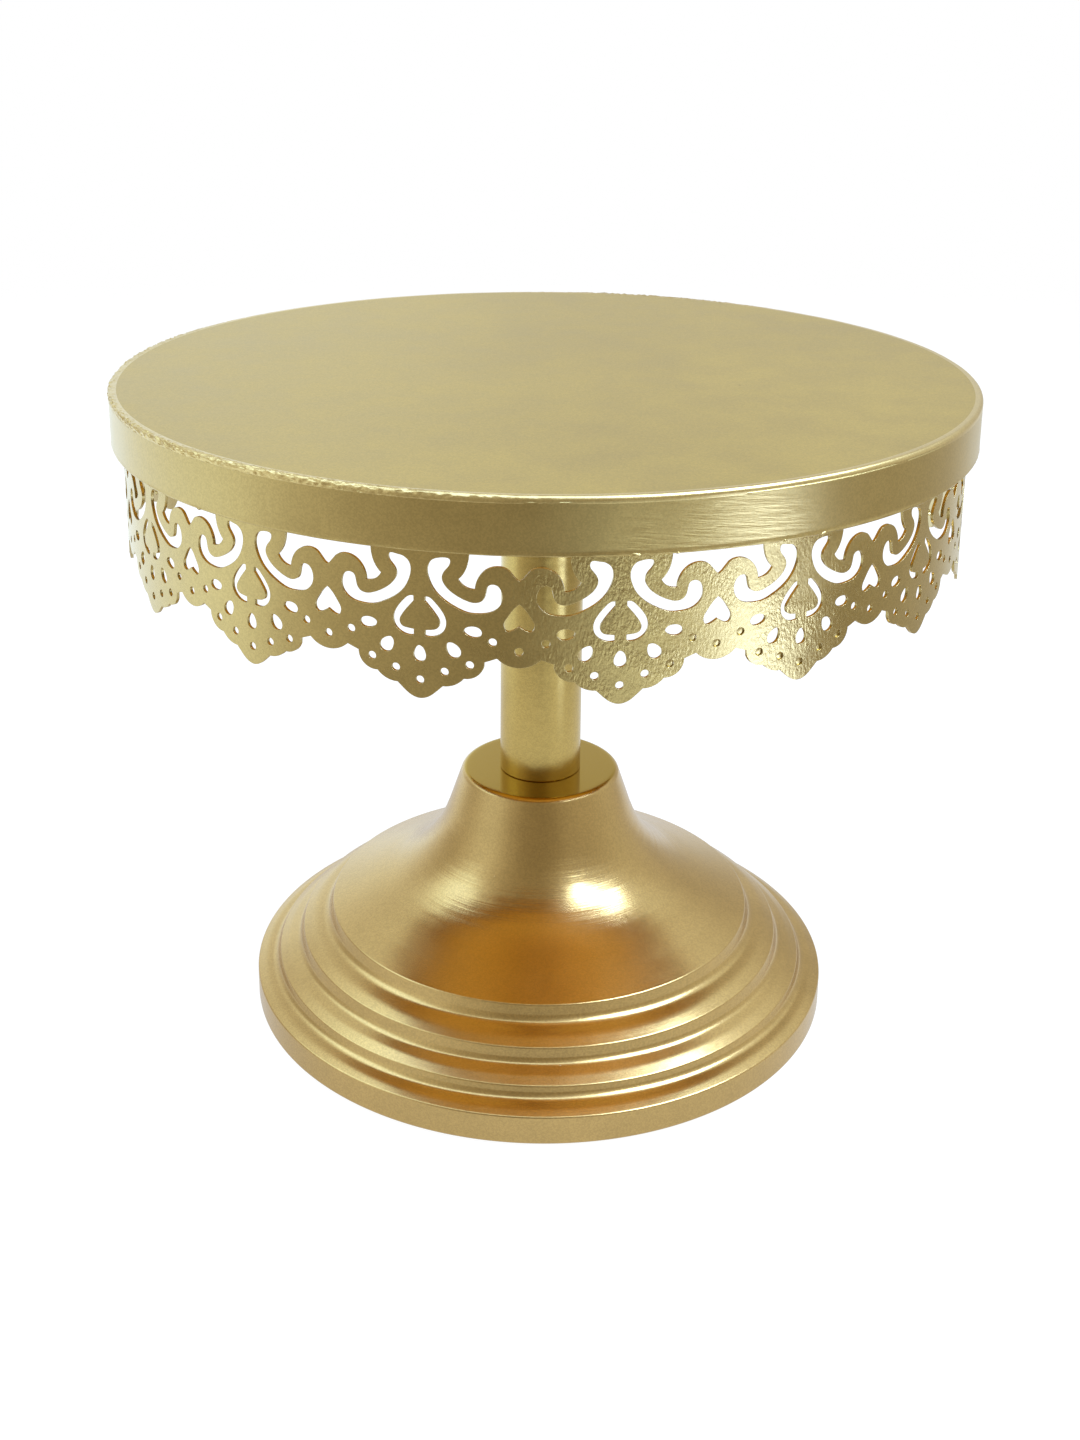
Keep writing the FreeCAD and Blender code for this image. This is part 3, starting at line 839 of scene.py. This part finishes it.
def floor():
    """A pale floor that fades into the white surroundings, sooner in what the metal mirrors."""
    mesh = bpy.data.meshes.new("floor")
    quarters = [(-1, -1), (1, -1), (1, 1), (-1, 1)]
    corners = [(x * FLOOR_HALF, y * FLOOR_HALF, 0) for x, y in quarters]
    mesh.from_pydata(corners, [], [(0, 1, 2, 3)])
    piece = bpy.data.objects.new("floor", mesh)
    bpy.context.scene.collection.objects.link(piece)
    material, n = new_material("pale floor")
    white = n.fill(n.add("ShaderNodeBsdfDiffuse"), Color=rgba((FLOOR_GREY,) * 3))
    path = n.add("ShaderNodeLightPath")
    strength = n.math("MULTIPLY_ADD", path.outputs["Is Glossy Ray"], FLOOR_MIRRORED - FLOOR_SEEN, FLOOR_SEEN)
    glow = n.fill(n.add("ShaderNodeEmission"), Color=(1, 1, 1, 1), Strength=strength)
    solid = n.add("ShaderNodeAddShader")
    n.put(solid.inputs[0], white.outputs[0])
    n.put(solid.inputs[1], glow.outputs[0])
    clear = n.add("ShaderNodeBsdfTransparent")
    far = n.add("ShaderNodeVectorMath", operation="LENGTH")
    n.put(far.inputs[0], n.place())
    mirrored = n.math("MULTIPLY", n.ramp(far.outputs["Value"], *MIRROR_FADE), path.outputs["Is Glossy Ray"])
    seen = n.math("MULTIPLY", n.ramp(far.outputs["Value"], *SIGHT_FADE), path.outputs["Is Camera Ray"])
    blend = n.add("ShaderNodeMixShader")
    n.put(blend.inputs[0], n.math("MAXIMUM", mirrored, seen))
    n.put(blend.inputs[1], solid.outputs[0])
    n.put(blend.inputs[2], clear.outputs[0])
    finish_material(n, blend.outputs[0])
    mesh.materials.append(material)


# Brightness of the studio round the compass: degrees from the front towards +X, then the levels low down,
# at the height of the eye and high up
COMPASS = [
    (-180, 1.00, 0.88, 0.55), (-158, 1.22, 1.12, 0.80), (-134, 1.18, 0.85, 0.95), (-108, 1.15, 0.62, 1.50),
    (-90, 1.13, 0.75, 1.75), (-66, 0.61, 0.92, 1.00), (-38, 0.42, 0.62, 0.55), (-10, 0.29, 0.38, 0.40),
    (14, 0.14, 0.40, 0.50), (30, 0.42, 0.52, 0.80), (50, 0.72, 0.58, 0.80), (66, 0.56, 0.62, 0.80),
    (84, 0.42, 0.70, 0.80), (106, 0.50, 0.76, 0.95), (126, 0.58, 0.70, 0.95), (146, 0.88, 0.62, 0.72),
    (166, 0.95, 0.83, 0.55), (180, 1.00, 0.88, 0.55),
]
LOW_TO_EYE = (-0.26, -0.04)   # slopes of a ray between which the low level gives way to the level at the eye
EYE_TO_HIGH = (0.30, 0.62)
HIGH_TO_CEILING = (0.82, 0.93)
CEILING = 1.9                 # level right overhead
# Two pale cards low at the front right: level, place round the compass, and slopes of a ray at their top
BROAD_CARD = (1.2, (38, 26, 36), (-0.34, -0.375))
NARROW_CARD = (4.2, (57, 6, 12), (-0.335, -0.36))
# Share of green and blue in the light: its rise with the level, its start and its most. Dim light is warm
GREEN_SHARE = (0.32, 0.76, 1.26)
BLUE_SHARE = (0.74, 0.41, 2.1)


def compass_level(n, azimuth, column):
    """One column of the compass as a smooth curve."""
    compass = n.add("ShaderNodeFloatCurve")
    n.put(compass.inputs["Value"], n.math("MULTIPLY_ADD", azimuth, 0.5 / math.pi, 0.5))
    curve = compass.mapping.curves[0]
    for i, row in enumerate(COMPASS):
        spot = ((row[0] + 180) / 360, row[column] / 2)
        if i < 2:
            curve.points[i].location = spot
        else:
            curve.points.new(*spot)
    compass.mapping.update()
    return n.math("MULTIPLY", compass.outputs[0], 2.0)


def blended(n, share, a, b):
    """Between two levels, by a share from 0 to 1."""
    return n.math("MULTIPLY_ADD", n.math("SUBTRACT", b, a), share, a)


def with_card(n, low, azimuth, slope, card):
    """The low level with a card laid over it."""
    level, place, top = card
    share = n.math("MULTIPLY", n.facing(azimuth, *place), n.ramp(slope, *top))
    return blended(n, share, low, level)


def tinted(n, level, share):
    """One colour of the light, from its level and that colour's share."""
    rise, start, most = share
    return n.math("MULTIPLY", level, n.math("MINIMUM", n.math("MULTIPLY_ADD", level, rise, start), most))


def world():
    """A studio that is bright at the left and back, dim and warm in front, with a bright ceiling."""
    scene_world = bpy.data.worlds.new("studio")
    bpy.context.scene.world = scene_world
    scene_world.use_nodes = True
    n = Nodes(scene_world.node_tree)
    direction = n.split(n.add("ShaderNodeTexCoord").outputs["Generated"])
    slope = direction[2]
    azimuth = n.azimuth(direction[0], direction[1])
    low = compass_level(n, azimuth, 1)
    low = with_card(n, low, azimuth, slope, BROAD_CARD)
    low = with_card(n, low, azimuth, slope, NARROW_CARD)
    level = blended(n, n.ramp(slope, *LOW_TO_EYE), low, compass_level(n, azimuth, 2))
    level = blended(n, n.ramp(slope, *EYE_TO_HIGH), level, compass_level(n, azimuth, 3))
    level = blended(n, n.ramp(slope, *HIGH_TO_CEILING), level, CEILING)
    green = tinted(n, level, GREEN_SHARE)
    blue = tinted(n, level, BLUE_SHARE)
    studio = n.fill(n.add("ShaderNodeBackground"), Color=n.join(level, green, blue), Strength=1.0)
    plain = n.fill(n.add("ShaderNodeBackground"), Color=(1, 1, 1, 1), Strength=1.0)
    blend = n.add("ShaderNodeMixShader")
    n.put(blend.inputs[0], n.add("ShaderNodeLightPath").outputs["Is Camera Ray"])
    n.put(blend.inputs[1], studio.outputs[0])
    n.put(blend.inputs[2], plain.outputs[0])
    n.put(n.add("ShaderNodeOutputWorld").inputs["Surface"], blend.outputs[0])


SOFTBOX_AWAY = 1.1            # metres from the middle of the stand
SOFTBOX_WIDTH = 0.78
SOFTBOX_HEIGHT = 0.40
SOFTBOX_WATTS = 17.0
SOFTBOX_COLOUR = (0.5, 0.66, 1.0)


def softbox(name, azimuth, elevation):
    """A rectangular lamp aimed at the middle of the stand, by its compass and height angles."""
    light = bpy.data.lights.new(name, "AREA")
    light.color = SOFTBOX_COLOUR
    light.shape = "RECTANGLE"
    light.size = SOFTBOX_WIDTH
    light.size_y = SOFTBOX_HEIGHT
    light.energy = SOFTBOX_WATTS
    lamp = bpy.data.objects.new(name, light)
    aim = Vector((0, 0, 0.1))
    a = math.radians(azimuth)
    e = math.radians(elevation)
    away = Vector((math.sin(a) * math.cos(e), -math.cos(a) * math.cos(e), math.sin(e)))
    lamp.location = aim + away * SOFTBOX_AWAY
    lamp.rotation_euler = away.to_track_quat("Z", "Y").to_euler()
    bpy.context.scene.collection.objects.link(lamp)
    lamp.visible_camera = False
    return lamp


def link_light(lamp, piece, state):
    """Gives a lamp's light to one piece alone (INCLUDE), or to everything but that piece (EXCLUDE)."""
    group = bpy.data.collections.new(lamp.name + " link")
    group.objects.link(piece)
    group.collection_objects[0].light_linking.link_state = state
    lamp.light_linking.receiver_collection = group


CAMERA_AT = (-0.0092, -0.5159, 0.3207)
CAMERA_DOWN_DEG = 17.11
CAMERA_ROLL_DEG = 0.30
LENS_MM = 45.1
SENSOR_MM = 36.0
SHIFT = (0.0193, -0.1562)


def camera():
    """The camera in front of the stand, looking down at it, with its lens shifted."""
    data = bpy.data.cameras.new("camera")
    data.lens = LENS_MM
    data.sensor_width = SENSOR_MM
    data.shift_x = SHIFT[0]
    data.shift_y = SHIFT[1]
    data.clip_start = 0.01
    item = bpy.data.objects.new("camera", data)
    bpy.context.scene.collection.objects.link(item)
    down = math.radians(CAMERA_DOWN_DEG)
    roll = math.radians(CAMERA_ROLL_DEG)
    right = Vector((1, 0, 0))
    up = Vector((0, math.sin(down), math.cos(down)))
    back = Vector((0, -math.cos(down), math.sin(down)))
    x_axis = right * math.cos(roll) + up * math.sin(roll)
    y_axis = up * math.cos(roll) - right * math.sin(roll)
    turn = Matrix((x_axis, y_axis, back)).transposed().to_4x4()
    item.matrix_world = Matrix.Translation(CAMERA_AT) @ turn
    bpy.context.scene.camera = item


floor()
world()
plate_top = bpy.data.objects["plate_top"]
# From the back, the key light would glare on the flat top, so that has a higher lamp of its own
link_light(softbox("key light", 63, 48), plate_top, "EXCLUDE")
link_light(softbox("plate light", 75, 60), plate_top, "INCLUDE")
camera()
bpy.context.scene.view_settings.view_transform = "Standard"
